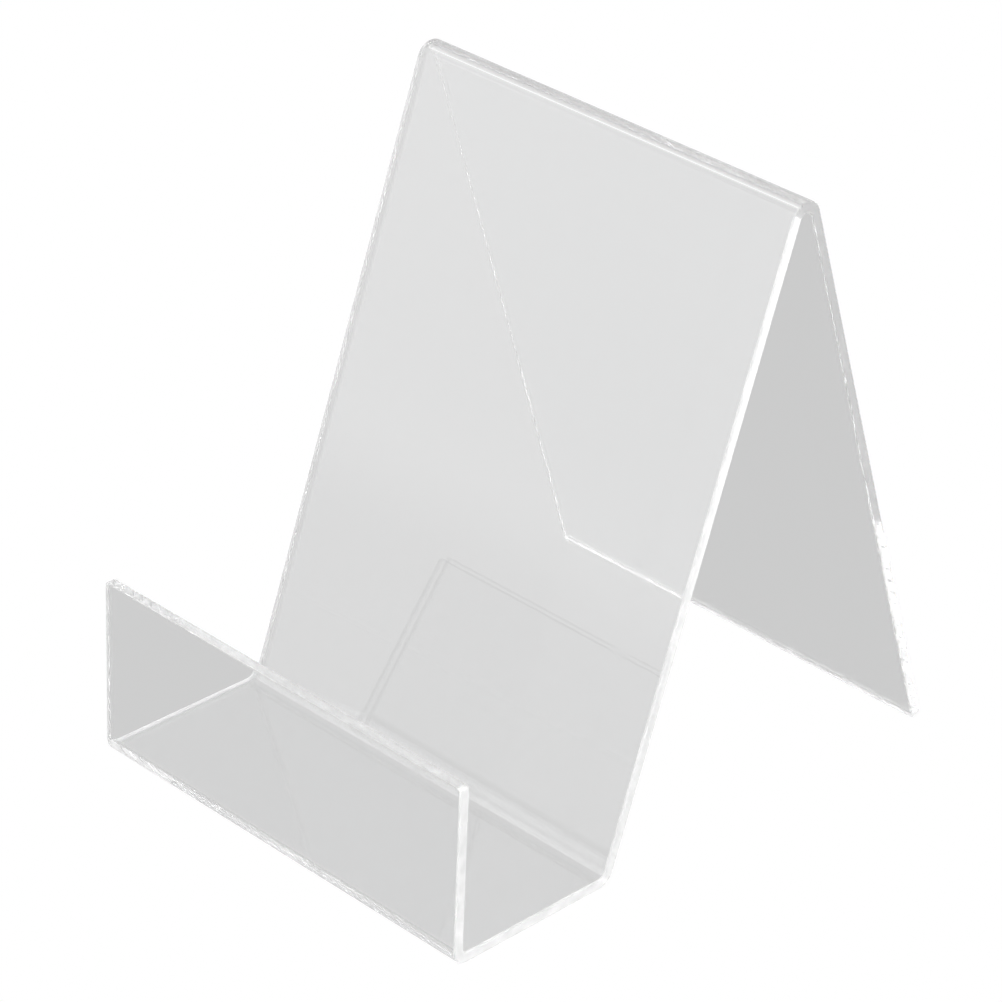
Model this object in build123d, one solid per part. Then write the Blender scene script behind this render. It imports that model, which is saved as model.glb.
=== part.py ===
from build123d import *
import math
import os

# Plate display stand: one strip of clear acrylic sheet, cut to width and folded
# by line heating into a front lip, a ledge, a leaning backrest and a rear leg.
#
# Frame: +X along the width (parallel to every bend), +Y towards the rear leg,
# +Z up.  Origin: centre of the overall footprint, on the table.
# Millimetres throughout.
#
# The strip is cut into its functional members where each flat panel runs into
# its bend, so every member is a simple closed solid and neighbours meet face to
# face on the tangent planes of the bends.

# ------------------------------------------------------------------ dimensions
SHEET_T = 3.0            # sheet thickness
WIDTH = 127.0            # width of the strip

LIP_LEN = 49.2           # lip: top edge to the first corner (mid-plane lengths)
LEDGE_LEN = 50.5         # ledge: corner to corner
BACK_LEN = 180.7         # backrest: ledge corner to apex
LIP_LEAN = 0.0           # degrees the lip leans in over the ledge
BACK_LEAN = 18.2         # degrees the backrest leans back from vertical
LEG_RAKE = 19.5          # degrees the rear leg slopes back from vertical

R_LIP = 1.5              # inside radius, lip to ledge
R_LEDGE = 2.0            # inside radius, ledge to backrest
R_TOP = 2.0              # inside radius of the tight fold at the apex

ARRIS = 0.50             # flat broken on every cut edge
CORNER_R = 1.0           # rounding of the four free corners of the strip

# ------------------------------------------------------------- profile geometry
# The profile is worked out in the (y, z) plane on the sheet's mid-plane, as
# four straight legs between corners C0 (lip top) ... C4 (foot).


def unit(deg_from_up, sign_z):
    a = math.radians(deg_from_up)
    return (math.sin(a), sign_z * math.cos(a))


D_LIP = unit(-LIP_LEAN, -1)        # down the lip, away from its inward lean
D_LEDGE = (1.0, 0.0)               # back along the ledge
D_BACK = unit(BACK_LEAN, 1)        # up the backrest
D_LEG = unit(LEG_RAKE, -1)         # down the rear leg
DIRS = [D_LIP, D_LEDGE, D_BACK, D_LEG]


def left(d):
    # normal on the left of travel: the plate side of the lip, ledge and
    # backrest, and the outer (rear) side of the leg
    return (-d[1], d[0])


def move(p, d, s):
    return (p[0] + d[0] * s, p[1] + d[1] * s)


C1 = (0.0, SHEET_T / 2)
C0 = move(C1, D_LIP, -LIP_LEN)
C2 = move(C1, D_LEDGE, LEDGE_LEN)
C3 = move(C2, D_BACK, BACK_LEN)
# the leg is cut square and stands on the front arris of its cut edge; its
# length follows from the foot reaching the table
n_leg = left(D_LEG)
foot_drop = abs(n_leg[1]) * (SHEET_T / 2 - ARRIS)
LEG_LEN = (C3[1] - foot_drop) / abs(D_LEG[1])
C4 = move(C3, D_LEG, LEG_LEN)
CORNERS = [C0, C1, C2, C3, C4]
RADII = {1: R_LIP, 2: R_LEDGE, 3: R_TOP}


def bend_data(i):
    """Centre, turn sign and tangent set-back of the bend at corner i."""
    d0, d1 = DIRS[i - 1], DIRS[i]
    cross = d0[0] * d1[1] - d0[1] * d1[0]
    dot = d0[0] * d1[0] + d0[1] * d1[1]
    turn = math.atan2(abs(cross), dot)
    side = 1.0 if cross > 0 else -1.0
    r_mid = RADII[i] + SHEET_T / 2
    setback = r_mid * math.tan(turn / 2)
    start = move(CORNERS[i], d0, -setback)
    n0 = left(d0)
    centre = move(start, n0, side * r_mid)
    return centre, side, setback, turn


BENDS = {i: bend_data(i) for i in (1, 2, 3)}

# overall footprint, used to put the origin at its centre
front_y = BENDS[1][0][0] - R_LIP - SHEET_T
rear_y = C4[0] + n_leg[0] * SHEET_T / 2 - D_LEG[0] * ARRIS
Y_MID = (front_y + rear_y) / 2


def to3d(p):
    return (0.0, p[0] - Y_MID, p[1])


def panel_face(p, q, d):
    n = left(d)
    h = SHEET_T / 2
    pts = [move(p, n, h), move(q, n, h), move(q, n, -h), move(p, n, -h)]
    return make_face(Polyline(*[to3d(k) for k in pts], close=True))


def bend_face(i):
    centre, side, setback, turn = BENDS[i]
    n0, n1 = left(DIRS[i - 1]), left(DIRS[i])
    ri, ro = RADII[i], RADII[i] + SHEET_T
    # radial directions from the bend centre at start, middle and end
    u0 = (-side * n0[0], -side * n0[1])
    u1 = (-side * n1[0], -side * n1[1])
    m = (u0[0] + u1[0], u0[1] + u1[1])
    k = math.hypot(*m)
    um = (m[0] / k, m[1] / k)
    inner = ThreePointArc(to3d(move(centre, u0, ri)), to3d(move(centre, um, ri)),
                          to3d(move(centre, u1, ri)))
    outer = ThreePointArc(to3d(move(centre, u1, ro)), to3d(move(centre, um, ro)),
                          to3d(move(centre, u0, ro)))
    e1 = Line(inner @ 1, outer @ 0)
    e0 = Line(outer @ 1, inner @ 0)
    return make_face([inner, e1, outer, e0])


def thick(face):
    """Extrude a profile face both ways along the width."""
    return extrude(face, amount=WIDTH / 2, both=True, dir=(1, 0, 0))


def panel_span(k):
    """Ends of flat member k on the mid-plane, where its bends begin."""
    a = CORNERS[k] if k == 0 else move(CORNERS[k], DIRS[k], BENDS[k][2])
    b = CORNERS[k + 1] if k == 3 else move(CORNERS[k + 1], DIRS[k], -BENDS[k + 1][2])
    return a, b


def yz(v):
    return (v.Y + Y_MID, v.Z)


def make_panel(k, free_start=False, free_end=False):
    """A flat member; its free edge has rounded corners and broken arrises."""
    a, b = panel_span(k)
    d = DIRS[k]
    body = thick(panel_face(a, b, d))
    span = math.hypot(b[0] - a[0], b[1] - a[1])

    def along(v):
        y, z = yz(v)
        return (y - a[0]) * d[0] + (z - a[1]) * d[1]

    free_s = 0.0 if free_start else (span if free_end else None)
    if free_s is not None:
        # the two corner edges of the strip run through the thickness
        corner = [e for e in body.edges()
                  if abs(abs(e.center().X) - WIDTH / 2) < 1e-6
                  and abs(along(e @ 0) - free_s) < 1e-6
                  and abs(along(e @ 1) - free_s) < 1e-6]
        body = fillet(corner, CORNER_R)
    # arrises: every edge lying in a face of the sheet, other than the two that
    # bound a neighbouring bend
    h = SHEET_T / 2
    n = left(d)

    def offset(v):
        y, z = yz(v)
        return (y - a[0]) * n[0] + (z - a[1]) * n[1]

    picked = []
    for e in body.edges():
        s0, s1, sm = along(e @ 0), along(e @ 1), along(e @ 0.5)
        o0, o1, om = offset(e @ 0), offset(e @ 1), offset(e @ 0.5)
        on_face = (abs(abs(o0) - h) < 1e-5 and abs(o1 - o0) < 1e-5
                   and abs(om - o0) < 1e-5)
        if not on_face:
            continue
        at_end = abs(s0 - s1) < 1e-5 and abs(sm - s0) < 1e-5
        if at_end and (free_s is None or abs(s0 - free_s) > 1e-5):
            continue
        picked.append(e)
    return chamfer(picked, ARRIS)


def make_bend(i):
    """A bend: a sector of tube wall with the same broken arrises at its ends."""
    body = thick(bend_face(i))
    picked = [e for e in body.edges()
              if abs(abs(e.center().X) - WIDTH / 2) < 1e-6
              and e.geom_type == GeomType.CIRCLE]
    return chamfer(picked, ARRIS)


NODES = {
    "front_lip": make_panel(0, free_start=True),
    "lip_bend": make_bend(1),
    "ledge": make_panel(1),
    "ledge_bend": make_bend(2),
    "backrest": make_panel(2),
    "top_bend": make_bend(3),
    "rear_leg": make_panel(3, free_end=True),
}

os.makedirs("parts", exist_ok=True)
for name, shape in NODES.items():
    solid = shape.solid() if hasattr(shape, "solid") else shape
    solid.label = name
    export_step(solid, os.path.join("parts", name + ".step"))
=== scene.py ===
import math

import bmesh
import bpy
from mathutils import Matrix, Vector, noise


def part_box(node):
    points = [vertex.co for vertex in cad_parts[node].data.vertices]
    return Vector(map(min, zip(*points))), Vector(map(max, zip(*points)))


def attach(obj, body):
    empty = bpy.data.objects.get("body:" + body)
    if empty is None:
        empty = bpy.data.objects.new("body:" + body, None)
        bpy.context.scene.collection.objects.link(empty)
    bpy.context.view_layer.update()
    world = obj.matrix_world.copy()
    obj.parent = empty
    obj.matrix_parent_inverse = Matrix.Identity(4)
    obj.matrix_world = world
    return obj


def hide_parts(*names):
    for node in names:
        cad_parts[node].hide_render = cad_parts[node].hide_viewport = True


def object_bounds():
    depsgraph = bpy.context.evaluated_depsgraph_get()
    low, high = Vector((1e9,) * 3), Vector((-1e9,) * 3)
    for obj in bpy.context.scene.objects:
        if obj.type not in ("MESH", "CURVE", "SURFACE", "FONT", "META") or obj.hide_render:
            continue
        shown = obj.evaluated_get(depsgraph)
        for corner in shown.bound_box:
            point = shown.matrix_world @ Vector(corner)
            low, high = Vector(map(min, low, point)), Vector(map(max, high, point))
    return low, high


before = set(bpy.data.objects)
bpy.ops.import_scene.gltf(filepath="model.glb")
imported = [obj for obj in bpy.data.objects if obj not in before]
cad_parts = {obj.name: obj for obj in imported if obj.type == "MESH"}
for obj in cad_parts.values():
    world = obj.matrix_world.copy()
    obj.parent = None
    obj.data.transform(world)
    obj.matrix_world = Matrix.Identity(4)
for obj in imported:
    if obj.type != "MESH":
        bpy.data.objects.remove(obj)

# Looks for the plate display stand: one strip of clear acrylic sheet, folded.
# The seven CAD members are regions of a single sheet, so here one continuous
# closed sheet stands for them and light runs through it without seams.
# Metres, in the row frame.

cad_box = [list(v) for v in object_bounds()]
scene = bpy.context.scene
MM = 0.001

# ------------------------------------------------------------------ the camera
LENS = 150.32              # mm on a 36 mm sensor
AZ, EL, ROLL = math.radians(43.9554), math.radians(29.1444), math.radians(2.3949)
DIST = 1.0401272
TARGET = Vector((0.0, -0.0139435, 0.0715))
PAN, TILT = 0.0027868 - 0.000124, 0.0021582 + 0.000124

back = Vector((math.sin(AZ) * math.cos(EL), -math.cos(AZ) * math.cos(EL), math.sin(EL)))
right0 = Vector((math.cos(AZ), math.sin(AZ), 0.0))
up0 = back.cross(right0)
right = right0 * math.cos(ROLL) + up0 * math.sin(ROLL)
up = up0 * math.cos(ROLL) - right0 * math.sin(ROLL)
eye = TARGET + right * PAN + up * TILT + back * DIST

cam_data = bpy.data.cameras.new("camera")
cam_data.sensor_width = 36.0
cam_data.lens = LENS
cam_data.clip_start = 0.05
cam_data.clip_end = 20.0
cam = bpy.data.objects.new("camera", cam_data)
cam.matrix_world = Matrix((
    (right.x, up.x, back.x, eye.x),
    (right.y, up.y, back.y, eye.y),
    (right.z, up.z, back.z, eye.z),
    (0.0, 0.0, 0.0, 1.0)))
scene.collection.objects.link(cam)
scene.camera = cam


# ------------------------------------------------- the folded line of the sheet
# Each flat member gives its two faces, and the bends are the arcs between them.
def flat(name, sign_y, sign_z):
    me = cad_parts[name].data
    group = {}
    for p in me.polygons:
        if abs(p.normal.x) > 0.01:
            continue
        key = (round(p.normal.y, 2), round(p.normal.z, 2))
        group.setdefault(key, []).append(p)
    best = None
    for polys in group.values():
        n = sum((p.normal * p.area for p in polys), Vector())
        if n.y * sign_y + n.z * sign_z > 0 and (best is None or n.length > best[0]):
            best = (n.length, Vector((n.y, n.z)).normalized())
    n = best[1]
    d = Vector((n.y, -n.x))
    dots_n = [v.co.y * n.x + v.co.z * n.y for v in me.vertices]
    dots_d = [v.co.y * d.x + v.co.z * d.y for v in me.vertices]
    return {"n": n, "d": d, "t": max(dots_n) - min(dots_n),
            "mid": (max(dots_n) + min(dots_n)) / 2, "s": (min(dots_d), max(dots_d))}


LIP = flat("front_lip", 1, 0)
LEDGE = flat("ledge", 0, 1)
BACK = flat("backrest", -1, 0)
LEG = flat("rear_leg", 1, 0)
FLATS = [LIP, LEDGE, BACK, LEG]
T = LEDGE["t"]
HALF_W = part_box("ledge")[1].x
ARRIS = 0.50 * MM         # the broken edges, which the flame rounds over
CORNER = 1.0 * MM
ARC = [math.radians(90 - 18 * i) for i in range(6)]    # from the face to the side


def point(member, s):
    return member["d"] * s + member["n"] * member["mid"]


def corner(a, b):
    """Where the mid-planes of two neighbouring members cross."""
    det = a["n"].x * b["n"].y - a["n"].y * b["n"].x
    return Vector(((a["mid"] * b["n"].y - b["mid"] * a["n"].y) / det,
                   (b["mid"] * a["n"].x - a["mid"] * b["n"].x) / det))


def bend(a, b):
    turn = a["d"].angle(b["d"])
    side = 1.0 if a["d"].x * b["d"].y - a["d"].y * b["d"].x > 0 else -1.0
    setback = corner(a, b).dot(a["d"]) - a["s"][1]
    r = setback / math.tan(turn / 2)
    return {"turn": turn, "side": side, "r": r,
            "centre": point(a, a["s"][1]) + a["n"] * side * r, "n": a["n"], "d": a["d"]}


BENDS = [bend(LIP, LEDGE), bend(LEDGE, BACK), bend(BACK, LEG)]


def graded(length, fine0, fine1, coarse):
    """Distances along a flat: fine at the ends, coarser in the middle."""
    def run(first):
        out, step, at = [], first, 0.0
        while at < length / 2:
            out.append(at)
            at += step
            step = min(step * 1.10, coarse)
        return out
    a, b = run(fine0), run(fine1)
    pts = a + [length - v for v in reversed(b)]
    if a[-1] + 0.3 * coarse > pts[len(a)]:
        pts.pop(len(a))
    return pts


FREE = [ARRIS * (1 - math.cos(a)) for a in reversed(ARC)] + [
    ARRIS + 0.24 * (CORNER - ARRIS), ARRIS + 0.56 * (CORNER - ARRIS), CORNER]
stations = []      # (y, z), normal, distance along the sheet, distance to free end
along = 0.0
for k, m in enumerate(FLATS):
    length = m["s"][1] - m["s"][0]
    if k == 0:
        ds = FREE + [CORNER + v for v in graded(length - CORNER, 0.4 * MM, 0.3 * MM, 2.5 * MM)[1:]]
    elif k == 3:
        ds = graded(length - CORNER, 0.3 * MM, 0.4 * MM, 2.5 * MM)[:-1]
        ds += [length - v for v in reversed(FREE)]
    else:
        ds = graded(length, 0.3 * MM, 0.3 * MM, 2.5 * MM)
    for v in ds:
        free = v if k == 0 else (length - v if k == 3 else 1.0)
        gap = [1.0, 1.0]
        if k > 0:
            gap[0] = v
        if k < 3:
            gap[1] = length - v
        stations.append({"p": point(m, m["s"][0] + v), "n": m["n"], "s": along + v,
                         "free": free, "flat": k, "gap": gap})
    along += length
    if k < 3:
        b = BENDS[k]
        count = 30 if k < 2 else 48
        for i in range(1, count):
            a = b["turn"] * i / count
            rot = Matrix.Rotation(b["side"] * a, 2)
            n = rot @ b["n"]
            stations.append({"p": b["centre"] - n * b["side"] * b["r"], "n": n,
                             "s": along + b["r"] * a, "free": 1.0, "flat": None,
                             "bend": (k, i / count)})
        along += b["r"] * b["turn"]
TOTAL = along


# -------------------------------------------------------------- the sheet's mesh
def rim(free, a):
    """Half-width and height above the mid-plane of the edge rounding at angle a
    (0 at the cut side, 90 degrees at the face), this far from a free end."""
    inset = ARRIS * (1 - math.cos(a))
    high = T / 2 - ARRIS + ARRIS * math.sin(a)
    if free >= CORNER:
        return HALF_W - inset, high
    reach = (CORNER - inset) ** 2 - (CORNER - free) ** 2
    if free < inset or reach <= 0:
        low = T / 2 - ARRIS + math.sqrt(max(0.0, ARRIS ** 2 - max(0.0, ARRIS - free) ** 2))
        return HALF_W - CORNER, min(low, high)
    return HALF_W - CORNER + math.sqrt(reach), high


def columns():
    xs, at, step = [], 0.0, 0.3 * MM
    w = HALF_W - ARRIS
    while at < w:
        xs.append(w - at)
        at += step
        step = min(step * 1.28, 2.6 * MM)
    xs = [x for x in xs if x > 1.0 * MM]
    return [-x for x in xs] + [0.0] + xs[::-1]


XS = columns()
ROWS = 6


def ripple(st, x, face):
    """How far the face stands off its flat: the sheet is drawn a little thinner
    where it was heated, and waves faintly beside each bend."""
    out = 0.0
    if st["flat"] is not None:
        for end, g in enumerate(st["gap"]):
            if g >= 0.5:
                continue
            d = g / MM
            wob = 1.0 + 0.35 * noise.noise(Vector((x * 22, st["flat"] * 7.3 + end * 3.1, face * 1.7)))
            out += wob * (-0.008 * math.exp(-(d / 5.0) ** 2)
                          + 0.003 * math.exp(-((d - 7.0) / 2.2) ** 2)) * (1 - math.exp(-(d / 1.5) ** 2))
    q = Vector((x * 14.0, st["s"] * 11.0, face * 5.0))
    out += 0.0015 * noise.noise(q)
    return min(out, 0.0) * MM if st["flat"] in (1,) and face < 0 else out * MM


def inside(*p):
    """Keep a point within the size of the part: the foot sits flat on the table."""
    return [max(lo, min(hi, v)) for v, lo, hi in zip(p, *cad_box)]


def build_sheet():
    bm = bmesh.new()
    uv = bm.loops.layers.uv.new("strip")
    loops = []
    for st in stations:
        arc = [rim(st["free"], a) for a in ARC]
        face, top = arc[0]
        side = arc[-1][0]
        low = T / 2 - ARRIS
        scale = face / (HALF_W - ARRIS)
        calm = min(1.0, max(0.0, st["free"] - ARRIS) / (4 * MM))
        ring = []
        for x in XS:
            ring.append((x * scale, top + calm * ripple(st, x, 1), "f"))
        for w, n in arc[1:-1]:
            ring.append((w, n, "s"))
        for i in range(ROWS + 1):
            ring.append((side, low * (1 - 2 * i / ROWS), "s"))
        for w, n in arc[-2:0:-1]:
            ring.append((w, -n, "s"))
        for x in reversed(XS):
            ring.append((x * scale, -top - calm * ripple(st, x, -1), "f"))
        for w, n in arc[1:-1]:
            ring.append((-w, -n, "s"))
        for i in range(ROWS + 1):
            ring.append((-side, -low * (1 - 2 * i / ROWS), "s"))
        for w, n in arc[-2:0:-1]:
            ring.append((-w, n, "s"))
        verts = []
        for x, off, kind in ring:
            q = st["p"] + st["n"] * off
            verts.append((bm.verts.new(inside(x, q.x, q.y)), x, off, kind))
        loops.append((st, verts))

    def face(quad, kind):
        f = bm.faces.new([q[0] for q in quad])
        f.smooth = True
        f.material_index = {"face": 0, "side": 1, "end": 1, "rim": 2}[kind]
        for loop, q in zip(f.loops, quad):
            loop[uv].uv = (q[4], q[1]) if kind == "face" else (
                (q[4], q[2]) if kind == "side" else (q[1], q[2]))

    for (sa, a), (sb, b) in zip(loops, loops[1:]):
        n = len(a)
        for i in range(n):
            j = (i + 1) % n
            kind = "face" if a[i][3] == "f" and a[j][3] == "f" and a[i][2] * a[j][2] > 0 else "side"
            if kind == "face" and min(sa["free"], sb["free"]) < 0.999 * ARRIS:
                kind = "rim" if sa["flat"] == 0 else "end"
            face([a[i] + (sa["s"],), a[j] + (sa["s"],), b[j] + (sb["s"],), b[i] + (sb["s"],)], kind)
    # the two cut ends: a grid between the front and the back row
    m, k = len(XS), len(ARC) - 2
    for (st, ring), flip in ((loops[0], True), (loops[-1], False)):
        h = T / 2 - ARRIS
        top = ring[:m]
        right_col = ring[m + k:m + k + ROWS + 1]
        start = m + 2 * k + ROWS + 1
        bottom = ring[start:start + m][::-1]
        left_col = ring[start + m + k:start + m + k + ROWS + 1][::-1]
        grid = [top]
        for r in range(1, ROWS):
            row = [left_col[r]]
            for c in range(1, m - 1):
                off = h * (1 - 2 * r / ROWS)
                q = st["p"] + st["n"] * off
                row.append((bm.verts.new((top[c][1], q.x, q.y)), top[c][1], off, "f"))
            row.append(right_col[r])
            grid.append(row)
        grid.append(bottom)
        for r in range(ROWS):
            for c in range(m - 1):
                face([grid[r][c] + (0,), grid[r][c + 1] + (0,), grid[r + 1][c + 1] + (0,), grid[r + 1][c] + (0,)],
                     "rim" if flip else "end")
    bmesh.ops.remove_doubles(bm, verts=bm.verts, dist=0.002 * MM)
    bmesh.ops.dissolve_degenerate(bm, edges=bm.edges, dist=0.001 * MM)
    bmesh.ops.recalc_face_normals(bm, faces=bm.faces)
    me = bpy.data.meshes.new("acrylic_sheet")
    bm.to_mesh(me)
    open_edges = sum(1 for e in bm.edges if len(e.link_faces) != 2)
    print("sheet", len(bm.verts), "verts", len(bm.faces), "faces", open_edges, "open edges")
    bm.free()
    me.set_sharp_from_angle(angle=math.radians(40))
    return me


sheet = bpy.data.objects.new("acrylic_sheet", build_sheet())
scene.collection.objects.link(sheet)


# ------------------------------------------------------------------- materials
def node(nt, kind, **vals):
    n = nt.nodes.new(kind)
    for k, v in vals.items():
        if k.startswith("in_"):
            key = k[3:]
            n.inputs[int(key) if key.isdigit() else key.replace("_", " ")].default_value = v
        else:
            setattr(n, k, v)
    return n


def maths(nt, op, a, b=None, c=None, clamp=False):
    n = nt.nodes.new("ShaderNodeMath")
    n.operation = op
    n.use_clamp = clamp
    for i, v in enumerate((a, b, c)):
        if v is None:
            continue
        if isinstance(v, (int, float)):
            n.inputs[i].default_value = v
        else:
            nt.links.new(v, n.inputs[i])
    return n.outputs[0]


def smooth(nt, value, lo, hi, out_lo=0.0, out_hi=1.0):
    n = nt.nodes.new("ShaderNodeMapRange")
    n.interpolation_type = "SMOOTHSTEP"
    for key, v in (("From Min", lo), ("From Max", hi), ("To Min", out_lo), ("To Max", out_hi)):
        n.inputs[key].default_value = v
    nt.links.new(value, n.inputs["Value"])
    return n.outputs["Result"]


BACK_END = max(st["s"] for st in stations if st["flat"] == 2)
FRONT = [max(st["s"] for st in stations if st["flat"] == 0),
         min(st["s"] for st in stations if st["flat"] == 1)]
LEDGE_END = max(st["s"] for st in stations if st["flat"] == 1)
SAWN, SAWN_LEDGE = 0.65, 2.1       # cloudiness of the left side, and of the ledge's left end


def acrylic(name, edge, ridge=0.0, blur=(0.0, 0.0), haze=0.0, sides=False):
    mat = bpy.data.materials.new(name)
    mat.use_nodes = True
    nt = mat.node_tree
    nt.nodes.clear()
    out = node(nt, "ShaderNodeOutputMaterial")
    bsdf = node(nt, "ShaderNodeBsdfPrincipled", in_IOR=1.49, in_Transmission_Weight=1.0)
    bsdf.inputs["Base Color"].default_value = (0.995, 0.997, 0.998, 1.0)
    nt.links.new(bsdf.outputs[0], out.inputs["Surface"])
    pos = node(nt, "ShaderNodeTexCoord").outputs["Object"]
    uv = node(nt, "ShaderNodeUVMap", uv_map="strip").outputs["UV"]

    def noise_at(scale, vec, detail=2.0, stretch=None):
        if stretch:
            m = node(nt, "ShaderNodeMapping")
            m.inputs["Scale"].default_value = stretch
            nt.links.new(vec, m.inputs["Vector"])
            vec = m.outputs["Vector"]
        n = node(nt, "ShaderNodeTexNoise", in_Scale=scale, in_Detail=detail)
        nt.links.new(vec, n.inputs["Vector"])
        return n.outputs["Fac"]

    if edge:
        # saw marks left under the flame polish: fine ridges across the
        # thickness and a slower wander along the edge
        saw = noise_at(1.0, uv, 1.0, (700.0, 60.0, 1.0))
        wander = noise_at(1.0, uv, 1.0, (150.0, 160.0, 1.0))
        patch = noise_at(1.0, uv, 1.0, (140.0, 200.0, 1.0))
        height = maths(nt, "ADD", maths(nt, "MULTIPLY", saw, 0.10), wander)
        bump = node(nt, "ShaderNodeBump", in_Strength=1.0, in_Distance=ridge)
        nt.links.new(height, bump.inputs["Height"])
        nt.links.new(bump.outputs["Normal"], bsdf.inputs["Normal"])
        rough = smooth(nt, patch, 0.35, 0.68, *blur)
        nt.links.new(rough, bsdf.inputs["Roughness"])
        # the cut is not quite clear: a share of the light is scattered, some
        # back and some through; most at the left end of the ledge, least
        # along the top fold and the leg
        cloud = node(nt, "ShaderNodeMixShader")
        cloud.inputs[0].default_value = 0.55
        milk = node(nt, "ShaderNodeBsdfDiffuse")
        glow = node(nt, "ShaderNodeBsdfTranslucent")
        for part in (milk, glow):
            part.inputs["Color"].default_value = (1.0, 1.0, 1.0, 1.0)
        nt.links.new(milk.outputs[0], cloud.inputs[1])
        nt.links.new(glow.outputs[0], cloud.inputs[2])
        cut = node(nt, "ShaderNodeMixShader")
        spread = node(nt, "ShaderNodeSeparateXYZ")
        nt.links.new(pos, spread.inputs[0])
        share = smooth(nt, patch, 0.30, 0.72, 0.85 * haze, 1.15 * haze)
        if sides:
            strip = node(nt, "ShaderNodeSeparateXYZ")
            nt.links.new(uv, strip.inputs[0])
            run = strip.outputs[0]
            leg = smooth(nt, run, BACK_END - 0.0010, BACK_END + 0.0015)
            foot = maths(nt, "MULTIPLY", smooth(nt, spread.outputs[1], 0.0, 0.02),
                         smooth(nt, spread.outputs[2], 0.0025, 0.0045, 1.0, 0.0))
            ledge = maths(nt, "MULTIPLY", smooth(nt, run, FRONT[0], FRONT[1]),
                          smooth(nt, run, LEDGE_END, LEDGE_END + 0.004, 1.0, 0.0))
            left = smooth(nt, spread.outputs[0], -0.95 * HALF_W, -0.98 * HALF_W)
            on_right = maths(nt, "MULTIPLY_ADD", maths(nt, "MAXIMUM", maths(nt, "MULTIPLY", leg, 0.70),
                                                       maths(nt, "MULTIPLY", foot, 0.18)), -1.0, 1.0)
            on_left = maths(nt, "SUBTRACT", maths(nt, "MULTIPLY_ADD", ledge, SAWN_LEDGE - SAWN, SAWN),
                            maths(nt, "MULTIPLY", leg, SAWN))
            share = maths(nt, "MULTIPLY", share, maths(nt, "MULTIPLY_ADD", left, maths(nt, "SUBTRACT", on_left, on_right), on_right), clamp=True)
        nt.links.new(share, cut.inputs[0])
        nt.links.new(bsdf.outputs[0], cut.inputs[1])
        nt.links.new(cloud.outputs[0], cut.inputs[2])
        nt.links.new(cut.outputs[0], out.inputs["Surface"])
    else:
        # extruded sheet: a faint orange peel, and hairline handling scratches
        peel = noise_at(1.0, uv, 1.0, (16.0, 22.0, 1.0))
        fine = noise_at(1.0, uv, 2.0, (420.0, 380.0, 1.0))
        bump = node(nt, "ShaderNodeBump", in_Strength=1.0, in_Distance=0.0000012)
        nt.links.new(peel, bump.inputs["Height"])
        nt.links.new(bump.outputs["Normal"], bsdf.inputs["Normal"])
        rough = smooth(nt, fine, 0.45, 0.80, 0.0, 0.006)
        # the front corner took the most heat and lost its shine
        strip = node(nt, "ShaderNodeSeparateXYZ")
        nt.links.new(uv, strip.inputs[0])
        s_at = strip.outputs[1]
        dull = maths(nt, "MULTIPLY", smooth(nt, s_at, FRONT[0] - 0.0005, FRONT[0] + 0.0005),
                     smooth(nt, s_at, FRONT[1] - 0.0005, FRONT[1] + 0.0005, 1.0, 0.0))
        rough = maths(nt, "MULTIPLY_ADD", dull, 0.060, rough)
        nt.links.new(rough, bsdf.inputs["Roughness"])
    return mat


sheet.data.materials.append(acrylic("acrylic_face", False))
sheet.data.materials.append(acrylic("acrylic_edge", True, 0.000001, (0.02, 0.06), 0.46, True))
sheet.data.materials.append(acrylic("acrylic_rim", True, 0.0000004, (0.09, 0.14), 0.050))
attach(sheet, "root")
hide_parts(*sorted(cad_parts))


# ------------------------------------------------------------ floor and studio
# The backdrop is plain white to the eye. What the acrylic bends or mirrors is
# the room: a pale grey table with a satin shine, pale walls, and a broad window
# of soft light at the front left.
TABLE = 0.585
SHINE_0, SHINE_1 = 0.04, 0.80      # how much the table mirrors, head on and grazing


def light_path():
    return node(nt, "ShaderNodeLightPath").outputs["Is Camera Ray"]


def shine(facing):
    """The table's mirror share, by how far from head on it is met."""
    return maths(nt, "MULTIPLY_ADD", maths(nt, "POWER", facing, 5.0), SHINE_1, SHINE_0)


me = bpy.data.meshes.new("floor")
bm = bmesh.new()
bmesh.ops.create_circle(bm, cap_ends=True, cap_tris=False, segments=128, radius=0.5)
bm.to_mesh(me)
bm.free()
floor = bpy.data.objects.new("floor", me)
floor.location.z = -0.0002
scene.collection.objects.link(floor)

fm = bpy.data.materials.new("floor")
fm.use_nodes = True
nt = fm.node_tree
nt.nodes.clear()
out = node(nt, "ShaderNodeOutputMaterial")
white = node(nt, "ShaderNodeEmission")
white.inputs["Color"].default_value = (1, 1, 1, 1)
grey = node(nt, "ShaderNodeEmission")
grey.inputs["Color"].default_value = (TABLE, TABLE, TABLE, 1)
gloss = node(nt, "ShaderNodeBsdfGlossy", in_Roughness=0.02)
gloss.inputs["Color"].default_value = (1, 1, 1, 1)
sheen = node(nt, "ShaderNodeMixShader")
nt.links.new(shine(node(nt, "ShaderNodeLayerWeight", in_Blend=0.5).outputs["Facing"]), sheen.inputs[0])
nt.links.new(grey.outputs[0], sheen.inputs[1])
nt.links.new(gloss.outputs[0], sheen.inputs[2])
pick = node(nt, "ShaderNodeMixShader")
nt.links.new(light_path(), pick.inputs[0])
nt.links.new(sheen.outputs[0], pick.inputs[1])
nt.links.new(white.outputs[0], pick.inputs[2])
nt.links.new(pick.outputs[0], out.inputs["Surface"])
floor.data.materials.append(fm)

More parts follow.
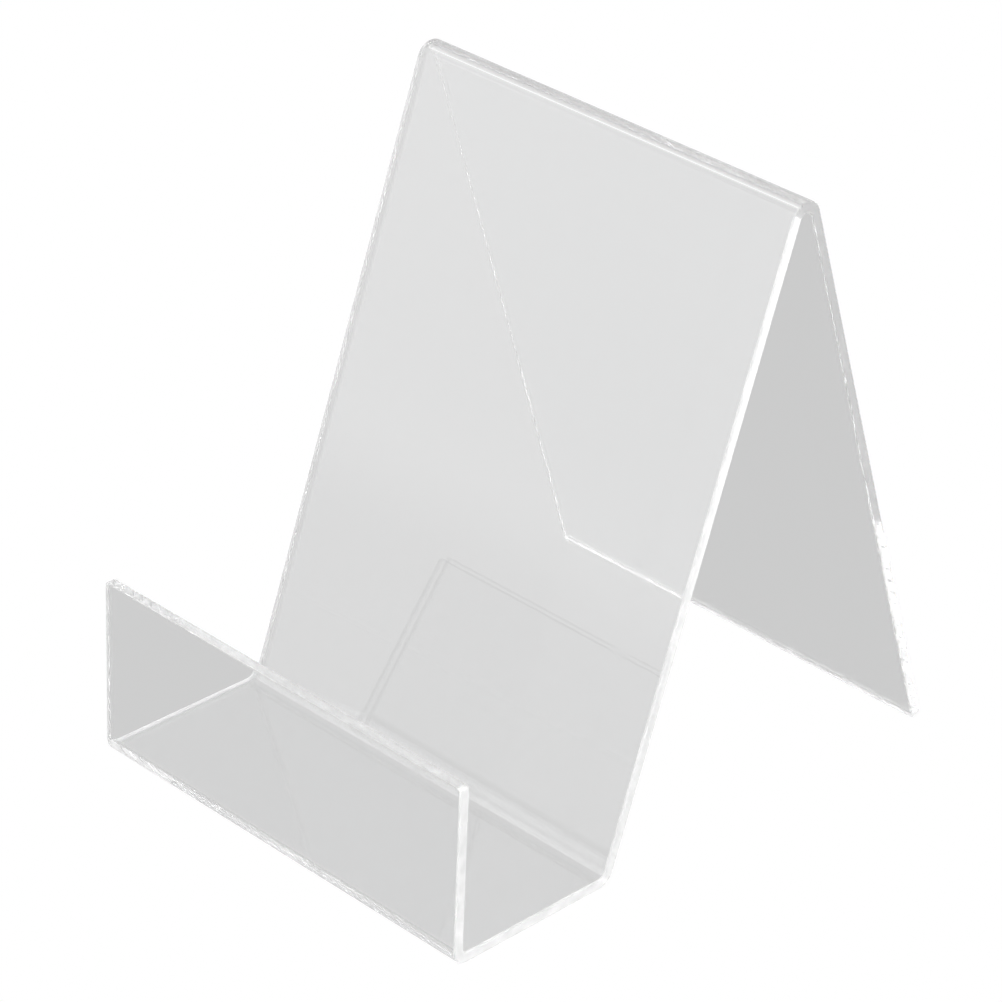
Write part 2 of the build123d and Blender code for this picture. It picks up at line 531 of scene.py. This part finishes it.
world = bpy.data.worlds.new("studio")
world.use_nodes = True
scene.world = world
nt = world.node_tree
nt.nodes.clear()
out = node(nt, "ShaderNodeOutputWorld")
way = node(nt, "ShaderNodeTexCoord").outputs["Generated"]
split = node(nt, "ShaderNodeSeparateXYZ")
nt.links.new(way, split.inputs[0])
X, Y, Z = split.outputs
UP = maths(nt, "ABSOLUTE", Z)      # below the horizon the far table mirrors the room


def heading(plan, inner, outer):
    """1 within an angle of a heading on the plan and 0 past a wider one."""
    flat_len = maths(nt, "SQRT", maths(nt, "MAXIMUM", maths(nt, "SUBTRACT", 1.0, maths(nt, "MULTIPLY", Z, Z)), 1e-6))
    v = Vector(plan).normalized()
    dot = maths(nt, "ADD", maths(nt, "MULTIPLY", X, v.x), maths(nt, "MULTIPLY", Y, v.y))
    return smooth(nt, maths(nt, "DIVIDE", dot, flat_len),
                  math.cos(math.radians(outer)), math.cos(math.radians(inner)))


def plus(*terms):
    total = terms[0]
    for t in terms[1:]:
        total = maths(nt, "ADD", total, t)
    return total


def times(a, b):
    return maths(nt, "MULTIPLY", a, b)


# pale walls, brighter overhead
walls = smooth(nt, UP, 0.30, 0.80, 0.72, 1.10)
# the window at the front left, from the table's edge to halfway up the room
low = times(times(heading((-0.571, -0.821), 38, 52), smooth(nt, UP, -0.01, 0.09, 1.52, 1.75)),
            smooth(nt, UP, 0.68, 0.74, 1.0, 0.0))
# two softer lights, right and left, met only by the scattering of the cuts
side = plus(times(heading((1.0, -0.45), 40, 75), smooth(nt, UP, 0.02, 0.12, 1.1, 2.45)),
            times(heading((-1.0, 0.10), 40, 75), smooth(nt, UP, 0.02, 0.12, 0.3, 0.7)))
side = times(side, node(nt, "ShaderNodeLightPath").outputs["Is Diffuse Ray"])
room_up = plus(walls, low, side)
far = plus(times(room_up, shine(maths(nt, "SUBTRACT", 1.0, UP))),
           times(maths(nt, "SUBTRACT", 1.0, shine(maths(nt, "SUBTRACT", 1.0, UP))), TABLE))
above = smooth(nt, Z, -0.040, -0.012)
total = plus(times(above, room_up), times(maths(nt, "SUBTRACT", 1.0, above), far))

room = node(nt, "ShaderNodeBackground")
comb = node(nt, "ShaderNodeCombineColor")
for i in range(3):
    nt.links.new(total, comb.inputs[i])
nt.links.new(comb.outputs[0], room.inputs["Color"])
plain = node(nt, "ShaderNodeBackground")
plain.inputs["Color"].default_value = (1, 1, 1, 1)
pick = node(nt, "ShaderNodeMixShader")
nt.links.new(light_path(), pick.inputs[0])
nt.links.new(room.outputs[0], pick.inputs[1])
nt.links.new(plain.outputs[0], pick.inputs[2])
nt.links.new(pick.outputs[0], out.inputs["Surface"])

# light carried along inside the sheet bounces many times before it leaves
cy = scene.cycles
cy.max_bounces = 512
cy.glossy_bounces = 512
cy.transmission_bounces = 512
cy.use_adaptive_sampling = False
cy.transparent_max_bounces = 16
cy.use_denoising = True
cy.denoising_prefilter = "ACCURATE"
cy.sample_clamp_indirect = 0.0
scene.view_settings.view_transform = "Standard"
scene.view_settings.look = "None"
